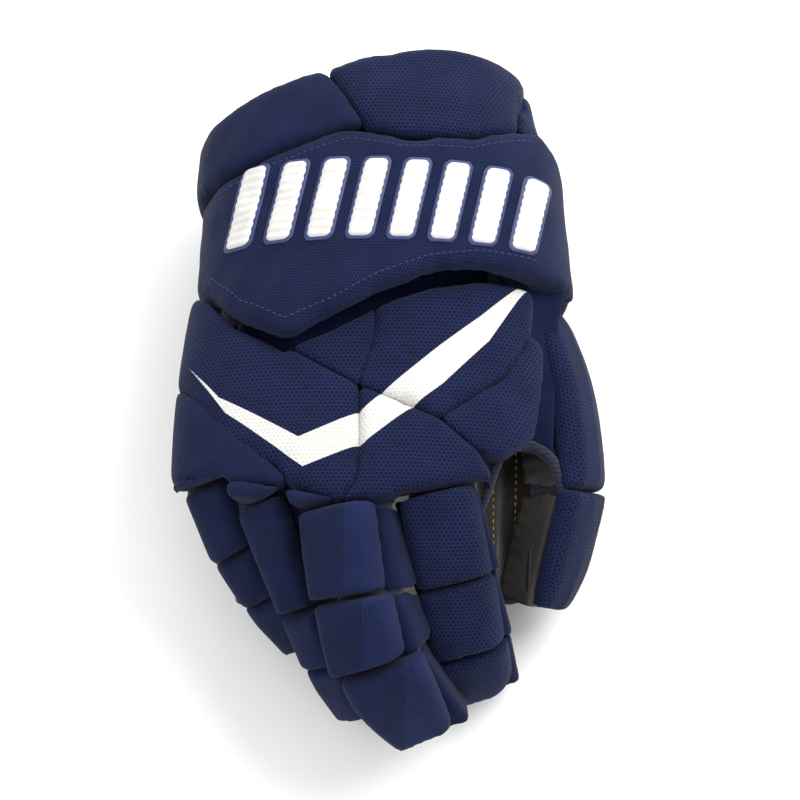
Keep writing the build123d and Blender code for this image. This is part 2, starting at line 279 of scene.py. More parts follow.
def cloth(name):
    """The named cloth or leather, made on first use."""
    if name not in CLOTHS:
        colours = bpy.context.scene.glove_cloth
        makers = {
            "open mesh": lambda: cloth_material("Polyester air mesh", colours.hole_pitch, dark=0.28),
            "band mesh": lambda: cloth_material("Polyester honeycomb mesh", 0.8 * colours.hole_pitch,
                                                dark=0.35, tint=0.95),
            # Tint 1.35 lifts this weave: partly a paler cloth, partly a painted highlight on the middle
            # finger's facet that faces the key lamp.
            "cross weave with painted highlight": lambda: cloth_material("Cross-woven nylon with painted highlight", colours.weave_pitch, turn=pi / 4,
                                                  hole=(0.12, 0.4), dark=0.4, tint=1.35, row=1.0),
            "fine knit": lambda: cloth_material("Warp-knitted polyester", colours.knit_pitch, turn=0.5,
                                                stretch=0.75, dark=0.5, tint=0.9),
            "gusset": lambda: cloth_material("Stretch nylon gusset", 0.7 * colours.knit_pitch, dark=0.75,
                                             tint=0.8, depth=0.25),
            "leather": leather_material,
            "rib": lambda: rib_material("Ribbed elastane knit with painted groove shade", 0.9, 2.2 * MM),
            "lining": lambda: plain_material("Brushed lining fleece", "1b2136", 0.95, 0.7 * MM, 0.6, 0.3),
            "rubber": lambda: plain_material("Moulded TPU patch", colours.print_white, 0.5, 3.0 * MM,
                                             0.15),
            "edge": lambda: plain_material("Moulded navy TPU", "232f5c", 0.55, 3.0 * MM, 0.15),
            "thread": lambda: plain_material("Waxed polyester thread", colours.gold, 0.6, 0.3 * MM, 0.5),
            "navy thread": lambda: plain_material("Navy polyester thread", "1a2550", 0.7, 0.3 * MM, 0.5),
        }
        CLOTHS[name] = makers[name]()
    return CLOTHS[name]


# ------------------------------------------------------------------ mesh helpers
def new_piece(name, build):
    """Object in the scene from a finished bmesh, which is freed."""
    mesh = bpy.data.meshes.new(name)
    build.to_mesh(mesh)
    build.free()
    piece = bpy.data.objects.new(name, mesh)
    bpy.context.scene.collection.objects.link(piece)
    return piece


def bridge(build, rings, capped=False):
    """Faces from each closed ring of vertices to the next, and over both ends if capped."""
    for first, second in zip(rings[:-1], rings[1:]):
        for k in range(len(first)):
            after = (k + 1) % len(first)
            build.faces.new((first[k], first[after], second[after], second[k]))
    if capped:
        build.faces.new(rings[0][::-1])
        build.faces.new(rings[-1])


def thicken(piece, thickness, offset):
    """Gives an open sheet a wall; offset says on which side of the sheet it lies."""
    wall = piece.modifiers.new("wall", "SOLIDIFY")
    wall.thickness, wall.offset = thickness, offset
    apply_all(piece)


def only(piece):
    """Selects one piece and nothing else."""
    bpy.ops.object.select_all(action="DESELECT")
    piece.select_set(True)
    bpy.context.view_layer.objects.active = piece


def apply_all(piece):
    """Applies every modifier of a piece, in order."""
    only(piece)
    for modifier in list(piece.modifiers):
        bpy.ops.object.modifier_apply(modifier=modifier.name)


def islands_of(build):
    """The loose parts of a bmesh, each a list of vertices."""
    build.verts.ensure_lookup_table()
    build.verts.index_update()
    seen, islands = set(), []
    for start in build.verts:
        if start.index in seen:
            continue
        stack, island = [start], []
        seen.add(start.index)
        while stack:
            vert = stack.pop()
            island.append(vert)
            for edge in vert.link_edges:
                other = edge.other_vert(vert)
                if other.index not in seen:
                    seen.add(other.index)
                    stack.append(other)
        islands.append(island)
    return islands


def copied(name, nodes):
    """One new piece from copies of CAD nodes, with their loose triangles merged."""
    build = bmesh.new()
    for node in nodes:
        build.from_mesh(frame["nodes"][node].data)
    bmesh.ops.remove_doubles(build, verts=build.verts, dist=MERGE)
    return new_piece(name, build)


def add_core(piece, cover, foams):
    """Joins to a pad's cover the block of foam that lies within the cover node's box."""
    low, high = (np.array(corner) - side * 0.4 * MM for corner, side in zip(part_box(cover), (1, -1)))
    blocks = bmesh.new()
    blocks.from_mesh(frame["nodes"][foams].data)
    bmesh.ops.remove_doubles(blocks, verts=blocks.verts, dist=MERGE)
    build = bmesh.new()
    build.from_mesh(piece.data)
    for island in islands_of(blocks):
        places = np.array([vert.co for vert in island])
        if (places < low).any() or (places > high).any():
            continue
        copies = {vert: build.verts.new(vert.co) for vert in island}
        for face in {face for vert in island for face in vert.link_faces}:
            build.faces.new([copies[vert] for vert in face.verts])
    build.to_mesh(piece.data)
    build.free()
    blocks.free()


def normals_of(piece):
    """Vertex normals of a piece as an array."""
    normals = np.empty(len(piece.data.vertices) * 3)
    piece.data.vertices.foreach_get("normal", normals)
    return normals.reshape(-1, 3)


def puff(piece, amount, slack=0.25 * MM):
    """Pushes a skin outward, a little unevenly, as stuffed cloth is."""
    places = places_of(piece)
    x, y, z = (places / (9 * MM)).T
    uneven = np.sin(x + 1.9 * np.sin(0.7 * y)) * np.sin(y + 1.3 * np.sin(0.8 * z)) * np.sin(0.9 * z + x)
    set_places(piece, places + normals_of(piece) * (amount + slack * uneven)[:, None])


def remesh(piece, voxel, smoothing, whole=True):
    """Even skin over a piece, its edges rounded; what is sealed inside is dropped."""
    made = piece.modifiers.new("skin", "REMESH")
    made.mode, made.voxel_size = "VOXEL", voxel
    soft = piece.modifiers.new("round", "SMOOTH")
    soft.factor, soft.iterations = 0.5, smoothing
    apply_all(piece)
    keep_outside(piece, WHOLE_SHARE if whole else CRUMB_SHARE)


def keep_outside(piece, share):
    """Deletes every loose part narrower than a share of the widest."""
    build = bmesh.new()
    build.from_mesh(piece.data)
    islands = islands_of(build)

    def width(island):
        """Sum of the three sides of a loose part's box."""
        places = np.array([v.co for v in island])
        return float(np.ptp(places, axis=0).sum())

    widest = max(width(island) for island in islands)
    crumbs = [vert for island in islands if width(island) < share * widest for vert in island]
    bmesh.ops.delete(build, geom=crumbs, context="VERTS")
    build.to_mesh(piece.data)
    build.free()


def places_of(piece):
    """Vertex places of a piece as an array."""
    co = np.empty(len(piece.data.vertices) * 3)
    piece.data.vertices.foreach_get("co", co)
    return co.reshape(-1, 3)


def set_places(piece, places):
    """Moves every vertex of a piece to its row of an array."""
    piece.data.vertices.foreach_set("co", np.ascontiguousarray(places).ravel())
    piece.data.update()


def blow_up(pieces, cap):
    """Fills each piece by cloth pressure, and lets no point move more than cap."""
    padding = bpy.context.scene.glove_padding
    starts = {}
    for piece in pieces:
        starts[piece.name] = places_of(piece)
        air = piece.modifiers.new("air", "CLOTH")
        air.settings.use_pressure = True
        air.settings.uniform_pressure_force = padding.pressure
        air.settings.effector_weights.gravity = 0.0
        air.settings.quality = 4
        air.point_cache.frame_start, air.point_cache.frame_end = 1, padding.frames
    for step in range(1, padding.frames + 1):
        bpy.context.scene.frame_set(step)
    for piece in pieces:
        apply_all(piece)
        start = starts[piece.name]
        move = places_of(piece) - start
        length = np.linalg.norm(move, axis=1, keepdims=True)
        set_places(piece, start + move * np.minimum(1.0, cap / np.maximum(length, 1e-9)))
    bpy.context.scene.frame_set(1)


def subdivide(piece, levels=1):
    """Rounds a piece by Catmull-Clark subdivision, applied."""
    made = piece.modifiers.new("fine", "SUBSURF")
    made.levels = made.render_levels = levels
    apply_all(piece)


def map_cloth(piece, right, up):
    """Lays cloth on a piece: each face takes the two of its own axes that it faces least."""
    right, up = Vector(right).normalized(), Vector(up).normalized()
    out = right.cross(up)
    axes = np.array([right, up, out])
    mesh = piece.data
    layer = mesh.uv_layers.new(name="cloth")
    local = places_of(piece) @ axes.T
    normals = np.empty(len(mesh.polygons) * 3)
    mesh.polygons.foreach_get("normal", normals)
    facing = np.abs(normals.reshape(-1, 3) @ axes.T) * np.array([0.8, 0.8, 1.0])
    side = facing.argmax(axis=1)
    sizes = np.empty(len(mesh.polygons), int)
    mesh.polygons.foreach_get("loop_total", sizes)
    corner_side = np.repeat(side, sizes)
    corners = np.empty(len(mesh.loops), int)
    mesh.loops.foreach_get("vertex_index", corners)
    points = local[corners]
    across = np.where(corner_side == 0, 1, 0)
    along = np.where(corner_side == 2, 1, 2)
    rows = np.arange(len(points))
    layer.data.foreach_set("uv", np.column_stack([points[rows, across], points[rows, along]]).ravel())


def finish_piece(piece, body, replaced, material):
    """Smooth shading, material and body of a finished piece, with the CAD parts it replaces hidden."""
    only(piece)
    bpy.ops.object.shade_smooth()
    if not piece.data.materials:
        piece.data.materials.append(cloth(material))
    if body:
        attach(piece, body)
    if replaced:
        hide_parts(*replaced)


# ------------------------------------------------------------------ digits
JOINTS = {joint["child"]: joint for joint in frame["joints"]}


def segment(digit, number):
    """Joint and the distal, lateral and dorsal directions of a digit's segment."""
    joint = JOINTS[f"{digit}_{number}"]
    origin, lateral = Vector(joint["pos_m"]), Vector(joint["axis"]).normalized()
    after = JOINTS.get(f"{digit}_{number + 1}")
    if after:
        reach = Vector(after["pos_m"]) - origin
    else:
        stall = np.array([v.co for v in frame["nodes"][f"{digit}_stall_{number}"].data.vertices])
        reach = Vector((stall.min(axis=0) + stall.max(axis=0)) / 2) - origin
    reach -= lateral * reach.dot(lateral)
    distal = reach.normalized()
    return origin, distal, lateral, distal.cross(lateral)


def digits():
    """Every digit with how many segments it has."""
    return [(finger, 3) for finger in FINGERS] + [("thumb", 2)]


# How far the two long edges of each pad lean off its stall, in millimetres, base to tip
PAD_LEAN = {"little": ((0, 0), (0, 0), (0, 0)), "ring": ((-4, -8), (-3, -5), (-2, -3)),
            "middle": ((-8, -8), (-6, -5), (-4, 1)), "index": ((-3, -6), (-4, -8), (-4, -9)),
            "thumb": ((0, 0), (0, 0))}
# How high each pad's roof rises, how much its last pad narrows, and how far its tip moves sideways
ROOF = {"little": 2.2, "ring": 2.6, "middle": 3.4, "index": 1.8, "thumb": 3.0}
TIP_NARROWING = {"little": 0.3, "ring": 0.3, "middle": 0.45, "index": 0.3, "thumb": 0.35}
TIP_SHIFT = {"little": 0.0, "ring": 0.0, "middle": 6.0, "index": -3.0, "thumb": 0.0}
# Share by which each stall is widened, evenly and then on its left and right side alone
STALL_WIDENING = {"little": (0.22, 0, 0), "ring": (0.22, 0, 0), "middle": (0.22, 0, 0.35),
                  "index": (0.3, 0.5, 0), "thumb": (0, 0, 0)}


class GLOVE_OT_digit_pads(bpy.types.Operator):
    """Padded back of every finger and thumb segment."""

    bl_idname = "glove.digit_pads"
    bl_label = "Digit pads"

    def execute(self, context):
        voxel = context.scene.glove_padding.finger_voxel
        made = []
        for digit, count in digits():
            for number in range(1, count + 1):
                nodes = [f"{digit}_pad_{number}", f"{digit}_foam_{number}"]
                piece = copied(f"pad_{digit}_{number}", nodes)
                remesh(piece, voxel, 12)
                self.crown(piece, digit, number)
                puff(piece, 0.3 * MM)
                made.append((piece, digit, number, nodes))
        blow_up([entry[0] for entry in made], 1.3 * MM)
        for piece, digit, number, nodes in made:
            subdivide(piece)
            _, distal, lateral, _ = segment(digit, number)
            map_cloth(piece, lateral, -distal)
            self.face_cloths(piece, digit, lateral)
            finish_piece(piece, f"{digit}_{number}", nodes, "fine knit")
        return {"FINISHED"}

    def crown(self, piece, digit, number):
        """Raises a soft roof along a pad, closes it up to its neighbours and narrows the last one."""
        origin, distal, lateral, dorsal = segment(digit, number)
        places = places_of(piece)
        axes = np.array([lateral, distal, dorsal])
        across, along, up = ((places - np.array(origin)) @ axes.T).T
        centre, half_width = (across.max() + across.min()) / 2, np.ptp(across) / 2
        middle, span = (along.max() + along.min()) / 2, np.ptp(along) / 2
        rise = (up - up.min()) / np.ptp(up)
        side = np.abs(across - centre) / half_width
        left, right = PAD_LEAN[digit][number - 1]
        share = (across - centre) / half_width / 2 + 0.5
        lean = (left * (1 - share) + right * share) * MM * (0.3 + 0.7 * rise)
        part = (along - middle) / span
        last = number == (2 if digit == "thumb" else 3)
        lift = rise * (ROOF[digit] * MM * (1 - side) - 1.0 * MM * np.abs(part) ** 8)
        if digit == "thumb" and number == 1:
            stretch = np.where(part < 0, 9 * MM, 2.0 * MM)
            lift += rise * 3.0 * MM * np.clip(1 - part ** 2, 0, 1)
            lift -= rise * 5 * MM * np.clip(-part, 0, 1) ** 2
        else:
            stretch = np.where((part > 0) & last, -1.0 * MM, (3.2 if digit == "thumb" else 1.3) * MM)
        if last:
            end = np.clip((part + 0.2) / 1.2, 0, 1) ** 2
            across = centre + (across - centre) * (1 - TIP_NARROWING[digit] * end)
            lift -= rise * 4.0 * MM * end
            across = across + TIP_SHIFT[digit] * MM * end
        across = across + lean
        along = along + part * stretch
        local = np.column_stack([across, along, up + lift])
        set_places(piece, local @ axes + np.array(origin))

    def face_cloths(self, piece, digit, lateral):
        """Lighter weave on the thumb side of the middle finger's roof, partly a paler cloth and partly a
        painted highlight where that side faces the key lamp; open mesh on the index.
        """
        if digit == "middle":
            # The thumb side of the middle finger takes the weave that carries the painted highlight.
            names = ("fine knit", "cross weave with painted highlight")
        elif digit in ("index", "thumb"):
            names = ("open mesh", "open mesh")
        else:
            names = ("fine knit", "fine knit")
        for name in names:
            piece.data.materials.append(cloth(name))
        places = places_of(piece)
        middle = float((places @ np.array(lateral)).mean())
        for face in piece.data.polygons:
            face.material_index = int(face.center.dot(lateral) > middle + 1.5 * MM)


class GLOVE_OT_digit_stalls(bpy.types.Operator):
    """Leather and gusset tube under the pads of every digit segment."""

    bl_idname = "glove.digit_stalls"
    bl_label = "Digit stalls"

    def execute(self, context):
        for digit, count in digits():
            for number in range(1, count + 1):
                node = f"{digit}_stall_{number}"
                piece = copied(f"stall_{digit}_{number}", [node])
                remesh(piece, context.scene.glove_padding.shell_voxel, 4)
                _, distal, lateral, dorsal = segment(digit, number)
                self.wrinkle(piece, digit, number)
                map_cloth(piece, lateral, -distal)
                piece.data.materials.append(cloth("gusset"))
                piece.data.materials.append(cloth("leather"))
                heights = places_of(piece) @ np.array(dorsal)
                seam = heights.min() + 0.42 * np.ptp(heights)
                for face in piece.data.polygons:
                    if digit == "thumb":
                        palmar = number == 2 or face.normal.z < 0.35 or face.center.y < -24 * MM
                    else:
                        palmar = face.center.dot(dorsal) < seam
                    face.material_index = int(palmar)
                finish_piece(piece, f"{digit}_{number}", [node], "leather")
        return {"FINISHED"}

    def wrinkle(self, piece, digit, number):
        """Gathers the leather into soft folds across the digit."""
        origin, distal, lateral, dorsal = segment(digit, number)
        places = places_of(piece)
        local = (places - np.array(origin)) @ np.array([lateral, distal, dorsal]).T
        across, along, up = local.T
        fold = np.sin(along / (1.1 * MM) + 1.3 * np.sin(across / (4 * MM) + number)) * 0.22 * MM
        slack = np.clip(-up / (8 * MM), 0, 1)
        evenly, left, right = STALL_WIDENING[digit]
        widen = across * evenly + np.minimum(across, 0) * left + np.maximum(across, 0) * right
        folded = places + normals_of(piece) * (fold * slack)[:, None]
        set_places(piece, folded + widen[:, None] * np.array(lateral))


# Sleeve in each joint: sections along it, corners round it, how square it is, and its wall
SLEEVE_STEPS, SLEEVE_CORNERS, SQUARENESS, SLEEVE_WALL = 12, 24, 0.45, 0.6
HAND_TURN = (0, -0.6, 0.2)    # from a first segment's direction to the hand's own, before the joint


class GLOVE_OT_joint_gussets(bpy.types.Operator):
    """Stretch sleeve inside each joint, so that the stalls stay joined as they bend."""

    bl_idname = "glove.joint_gussets"
    bl_label = "Joint gussets"

    reach: FloatProperty(name="Reach", description="How far the sleeve goes into each stall",
                         default=9 * MM, unit="LENGTH")
    inset: FloatProperty(name="Inset", description="How far it lies inside the stall", default=0.9 * MM,
                         unit="LENGTH")

    def execute(self, context):
        for digit, count in digits():
            for number in range(1, count + 1):
                self.sleeve(digit, number)
        return {"FINISHED"}

    def sleeve(self, digit, number):
        """Ring of rounded sections from the segment before the joint to the one after."""
        origin, distal, lateral, dorsal = segment(digit, number)
        before = segment(digit, number - 1)[1] if number > 1 else distal + Vector(HAND_TURN)
        before = before.normalized()
        before = (before - lateral * before.dot(lateral)).normalized()
        stall = places_of(frame["nodes"][f"{digit}_stall_{number}"])
        wide = np.ptp(stall @ np.array(lateral)) / 2 - self.inset
        heights = (stall - np.array(origin)) @ np.array(dorsal)
        low, high = heights.min() + self.inset, heights.max() - self.inset
        build = bmesh.new()
        rings = []
        for step in range(SLEEVE_STEPS + 1):
            part = 2 * step / SLEEVE_STEPS - 1
            turn = before.lerp(distal, (part + 1) / 2).normalized()
            up = turn.cross(lateral)
            centre = origin + (before if part < 0 else distal) * part * self.reach
            ring = []
            for corner in range(SLEEVE_CORNERS):
                angle = 2 * pi * corner / SLEEVE_CORNERS
                c, s = np.cos(angle), np.sin(angle)
                across = wide * np.sign(c) * abs(c) ** SQUARENESS
                height = (low + high) / 2 + (high - low) / 2 * np.sign(s) * abs(s) ** SQUARENESS
                ring.append(build.verts.new(centre + lateral * across + up * height))
            rings.append(ring)
        bridge(build, rings)
        bmesh.ops.recalc_face_normals(build, faces=build.faces)
        piece = new_piece(f"gusset_{digit}_{number}", build)
        thicken(piece, SLEEVE_WALL * MM, -1)
        subdivide(piece)
        map_cloth(piece, distal, lateral)
        finish_piece(piece, None, [], "rib")
        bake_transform(piece)


# ------------------------------------------------------------------ backhand
# Outline of the printed stripe, seen from above, in millimetres
STRIPE = ((-94, 10), (-76, -12), (-40, -33), (-13, -21), (23, 11), (42, 27), (76, 60),
          (60, 38), (46, 15), (25, -7), (-11, -36), (-38, -47), (-73, -20))
STRIPE_FLOOR = 55 * MM    # the print is only above this height
UNPRINTED = -50           # distance stored where there is no print


def inside_outline(points, outline):
    """Signed distance of points to a closed outline, positive inside, in the outline's units."""
    outline = np.array(outline, float)
    ends = np.roll(outline, -1, axis=0)
    nearest = np.full(len(points), np.inf)
    inside = np.zeros(len(points), bool)
    for a, b in zip(outline, ends):
        edge = b - a
        part = np.clip(((points - a) @ edge) / (edge @ edge), 0, 1)
        nearest = np.minimum(nearest, np.linalg.norm(points - a - part[:, None] * edge, axis=1))
        crosses = (a[1] > points[:, 1]) != (b[1] > points[:, 1])
        with np.errstate(divide="ignore", invalid="ignore"):
            at = a[0] + (points[:, 1] - a[1]) * edge[0] / edge[1]
        inside ^= crosses & (points[:, 0] < at)
    return np.where(inside, nearest, -nearest)


class GLOVE_OT_backhand(bpy.types.Operator):
    """Backhand pads with their printed stripe, and the knuckle roll."""

    bl_idname = "glove.backhand"
    bl_label = "Backhand pads"

    def execute(self, context):
        voxel = context.scene.glove_padding.hand_voxel
        made = []
        for name in BACKHAND_PADS:
            node = f"backhand_pad_{name}"
            piece = copied(f"pad_{name}", [node])
            add_core(piece, node, "backhand_foam")
            remesh(piece, voxel, 18)
            puff(piece, 1.1 * MM, 0.5 * MM)
            made.append((piece, [node]))
        roll = copied("roll_knuckle", ["knuckle_roll"])
        remesh(roll, voxel, 8, whole=False)
        puff(roll, 0.8 * MM)
        made.append((roll, ["knuckle_roll"]))
        blow_up([entry[0] for entry in made], 1.6 * MM)
        for piece, nodes in made:
            subdivide(piece)
            map_cloth(piece, *PLAN)
            self.print_stripe(piece)
            material = "fine knit" if piece.name in ("roll_knuckle", "pad_side") else "open mesh"
            extra = ["backhand_foam"] if piece.name == "pad_upper_radial" else []
            finish_piece(piece, "hand", nodes + extra, material)
        return {"FINISHED"}

    def print_stripe(self, piece):
        """Stores how far inside the printed stripe each vertex is, in millimetres."""
        places = places_of(piece)
        distance = inside_outline(places[:, :2] / MM, STRIPE)
        distance = np.where(places[:, 2] > STRIPE_FLOOR, distance, UNPRINTED)
        layer = piece.data.attributes.new("stripe", "FLOAT", "POINT")
        layer.data.foreach_set("value", distance)


# ------------------------------------------------------------------ palm
class GLOVE_OT_palm(bpy.types.Operator):
    """Leather palm with the liner that closes it over the hand."""

    bl_idname = "glove.palm"
    bl_label = "Palm and liner"

    def execute(self, context):
        for name, node, material, slot in (("palm_leather", "palm", "leather", "palm_leather"),
                                           ("liner", "backhand_liner", "gusset", "lining")):
            piece = copied(name, [node])
            remesh(piece, context.scene.glove_padding.shell_voxel, 3)
            places = places_of(piece)
            x, y, _ = (places / MM).T
            fold = 0.35 * np.sin(y / 5 + 1.7 * np.sin(x / 17)) + 0.2 * np.sin(x / 3.2 + y / 9)
            set_places(piece, places + normals_of(piece) * fold[:, None] * MM)
            map_cloth(piece, *PLAN)
            replaced = [node] + (["backhand_insert"] if node == "backhand_liner" else [])
            finish_piece(piece, "hand", replaced, material)
        return {"FINISHED"}


# ------------------------------------------------------------------ cuff
class GLOVE_OT_cuff(bpy.types.Operator):
    """Wide padded band, the roll above it, the lining and the inner wrist strap."""

    bl_idname = "glove.cuff"
    bl_label = "Cuff"

    def execute(self, context):
        voxel = context.scene.glove_padding.cuff_voxel
        made = [(copied("band", ["cuff_band"]), ["cuff_band", "cuff_foam"], "band mesh", "band_fabric")]
        for name in ROLLS:
            material = "fine knit" if name == "ulnar" else "open mesh"
            made.append((copied(f"roll_{name}", [f"cuff_roll_{name}"]), [f"cuff_roll_{name}"], material,
                         "roll_fabric"))
        for piece, nodes, *_ in made:
            add_core(piece, nodes[0], "cuff_foam")
            remesh(piece, voxel, 16)
            puff(piece, 1.2 * MM, 0.9 * MM)
        blow_up([entry[0] for entry in made], 2.4 * MM)
        for piece, nodes, material, slot in made:
            subdivide(piece)
            map_cloth(piece, *PLAN)
            finish_piece(piece, "cuff", nodes, material)
        for name, node, material, slot in (("cuff_liner", "cuff_lining", "lining", "lining"),
                                           ("strap", "wrist_strap", "leather", "palm_leather")):
            piece = copied(name, [node])
            remesh(piece, context.scene.glove_padding.shell_voxel, 3)
            map_cloth(piece, *PLAN)
            finish_piece(piece, "cuff", [node], material)
        return {"FINISHED"}


# ------------------------------------------------------------------ thumb web
def sheet_piece(name, rows, thickness, levels=1):
    """Cloth or leather sheet through rows of points, in millimetres, thickened below."""
    build = bmesh.new()
    grid = [[build.verts.new(Vector(point) * MM) for point in row] for row in rows]
    for first, second in zip(grid[:-1], grid[1:]):
        for a, b, c, d in zip(first[:-1], first[1:], second[1:], second[:-1]):
            build.faces.new((a, b, c, d))
    bmesh.ops.recalc_face_normals(build, faces=build.faces)
    piece = new_piece(name, build)
    thicken(piece, thickness * MM, 0)
    subdivide(piece, levels)
    return piece


def between(a, b, part):
    """Point that lies a part of the way from a to b."""
    return tuple(np.array(a, float) * (1 - part) + np.array(b, float) * part)


# Gusset's edges on the hand and on the thumb, from the cuff to the crotch, in millimetres
GUSSET_HAND = ((50, 58, 84), (58, 40, 82), (60, 20, 80), (58, 0, 78), (54, -18, 75), (50, -30, 70))
GUSSET_THUMB = ((84, 52, 76), (80, 40, 72), (78, 20, 70), (77, 0, 69), (76, -18, 67), (76, -30, 63))
# Steps across the gusset's arch and the leather fold; how far the arch curves up the hand at the
# crotch, and how deep both sag between hand and thumb, in millimetres
ARCH_STEPS, ARCH_RISE, ARCH_SAG = 8, 7, 3.5
FOLD_STEPS, FOLD_SAG = 10, 15


class GLOVE_OT_thumb_web(bpy.types.Operator):
    """Ribbed gusset and folded leather between the hand and the thumb."""

    bl_idname = "glove.thumb_web"
    bl_label = "Thumb web"

    def execute(self, context):
        self.gusset_and_hem()
        self.leather_fold()
        return {"FINISHED"}

    def gusset_and_hem(self):
        """Ribbed gusset over the gap, and the round hem along its free edge."""
        rows = []
        for a, b in zip(GUSSET_HAND, GUSSET_THUMB):
            row = []
            for step in range(ARCH_STEPS + 1):
                part = step / ARCH_STEPS
                x, y, z = between(a, b, part)
                in_crotch = a[1] < 0
                row.append((x, y + ARCH_RISE * sin(pi * part) * in_crotch, z - ARCH_SAG * sin(pi * part)))
            rows.append(row)
        gusset = sheet_piece("web_gusset", rows, 2.2, 2)
        map_cloth(gusset, *PLAN)
        finish_piece(gusset, None, [], "gusset")
        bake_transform(gusset)
        path = [(42, -58, 63), (46, -44, 68), *rows[-1][::2], (80, -42, 60), (81, -54, 55)]
        rim = tube("web_hem", path, 3.0)
        map_cloth(rim, (0, 1, 0), (1, 0, 0))
        finish_piece(rim, None, [], "rib")
        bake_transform(rim)

    def leather_fold(self):
        """Leather below the arch, from the palm's edge to the thumb's inner face, with its seams."""
        rows = []
        for step in range(FOLD_STEPS + 1):
            part = step / FOLD_STEPS
            y = 4 - 92 * part
            left = (40 + 2 * part, y + 6, 62 - 16 * part)
            right = (69 - 4 * part, y, 60 - 18 * part)
            row = []
            for column in range(FOLD_STEPS + 1):
                share = column / FOLD_STEPS
                x, y_between, z = between(left, right, share)
                crease = 1.5 * sin(share * 9 + part * 3) + 1.0 * sin(part * 17)
                sag = FOLD_SAG * sin(pi * share) ** 0.8
                row.append((x, y_between - 5 * sin(pi * share), z - sag + crease))
            rows.append(row)
        leather = sheet_piece("web_leather", rows, 1.6, 2)
        map_cloth(leather, *PLAN)
        finish_piece(leather, None, [], "leather")
        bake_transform(leather)
        seams = ([rows[k][3] for k in range(2, 11)], [rows[k][7] for k in range(2, 10)],
                 [rows[9][k] for k in range(3, 9)])
        for index, path in enumerate(seams):
            thread = stitches(f"web_stitch_{index}", [leather], path, "thread")
            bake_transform(thread)


def tube(name, path, radius, sides=10):
    """Rounded cord along points in millimetres, closed at both ends."""
    points = [Vector(point) for point in path]
    build = bmesh.new()
    rings = []
    for index, point in enumerate(points):
        along = (points[min(index + 1, len(points) - 1)] - points[max(index - 1, 0)]).normalized()
        side = along.cross(Vector((0, 0, 1))).normalized()
        up = side.cross(along)
        wide = radius * (0.35 if index in (0, len(points) - 1) else 1.0)
        turns = [2 * pi * k / sides for k in range(sides)]
        rings.append([build.verts.new((point + (side * cos(turn) + up * sin(turn)) * wide) * MM)
                      for turn in turns])
    bridge(build, rings, capped=True)
    bmesh.ops.recalc_face_normals(build, faces=build.faces)
    piece = new_piece(name, build)
    subdivide(piece)
    return piece


TREES = {}
RAY = 200 * MM        # how far a ray looks for a surface


def surface_at(pieces, point, direction=(0, 0, -1), start=60):
    """Where a ray from above a point, in millimetres, meets one of the pieces, and its normal."""
    origin = (Vector(point) - Vector(direction) * start) * MM
    best = None
    for piece in pieces:
        if piece.name not in TREES:
            build = bmesh.new()
            build.from_mesh(piece.data)
            TREES[piece.name] = BVHTree.FromBMesh(build)
            build.free()
        place, normal, _, distance = TREES[piece.name].ray_cast(origin, Vector(direction), RAY)
        if place is not None and (best is None or distance < best[2]):
            best = (place, normal, distance)
    return best


def stitches(name, pieces, path, material, pitch=3.4, size=2.3, radius=0.42):
    """Row of single stitches along a path in millimetres, lying on the pieces seen from above."""
    path = np.array(path, float)
    steps = np.linalg.norm(np.diff(path, axis=0), axis=1)
    total = np.concatenate([[0], steps.cumsum()])
    build = bmesh.new()
    at = pitch / 2
    while at < total[-1] - pitch / 2:
        ends = []
        for offset in (-size / 2, 0, size / 2):
            point = [np.interp(at + offset, total, path[:, axis]) for axis in range(3)]
            hit = surface_at(pieces, point)
            if hit:
                sink = 0.15 if offset == 0 else -0.25
                ends.append(hit[0] + hit[1] * sink * MM)
        if len(ends) == 3:
            stitch_tube(build, ends, radius * MM)
        at += pitch
    piece = new_piece(name, build)
    piece.data.materials.append(cloth(material))
    return piece


def stitch_tube(build, points, radius):
    """Small closed tube through three points."""
    along = (points[2] - points[0]).normalized()
    side = along.orthogonal().normalized()
    up = along.cross(side)
    rings = []
    for point, width in zip(points, (0.45, 1, 0.45)):
        turns = [pi * k / 3 for k in range(6)]
        rings.append([build.verts.new(point + (side * cos(turn) + up * sin(turn)) * radius * width)
                      for turn in turns])
    bridge(build, rings, capped=True)


# ------------------------------------------------------------------ band trim
# Bars on the band, in millimetres: first place, spacing, width, both ends, slant, and fall across the band
FIRST_BAR, BAR_STEP, BAR_WIDTH = -69, 18.6, 11.5
BAR_LOW, BAR_HIGH, BAR_SLANT, BAR_FALL = 58, 97, 0.22, -0.02
BAR_ROWS, BAR_COLUMNS, BAR_WALL = 40, 6, 0.6
RIB_HEIGHT, RIB_RATE = 0.45, 1.6
BAND_TOP = 110        # height from which the trim looks down for the band
SEAMS = {"seam_front": [(-84, 52), (-67, 33), (-46, 21), (-26, 29), (-4, 41), (19, 50), (42, 54),
                        (70, 54)],
         "seam_back": [(-80, 91), (-64, 95), (-17, 109), (6, 104), (38, 105), (68, 117)]}


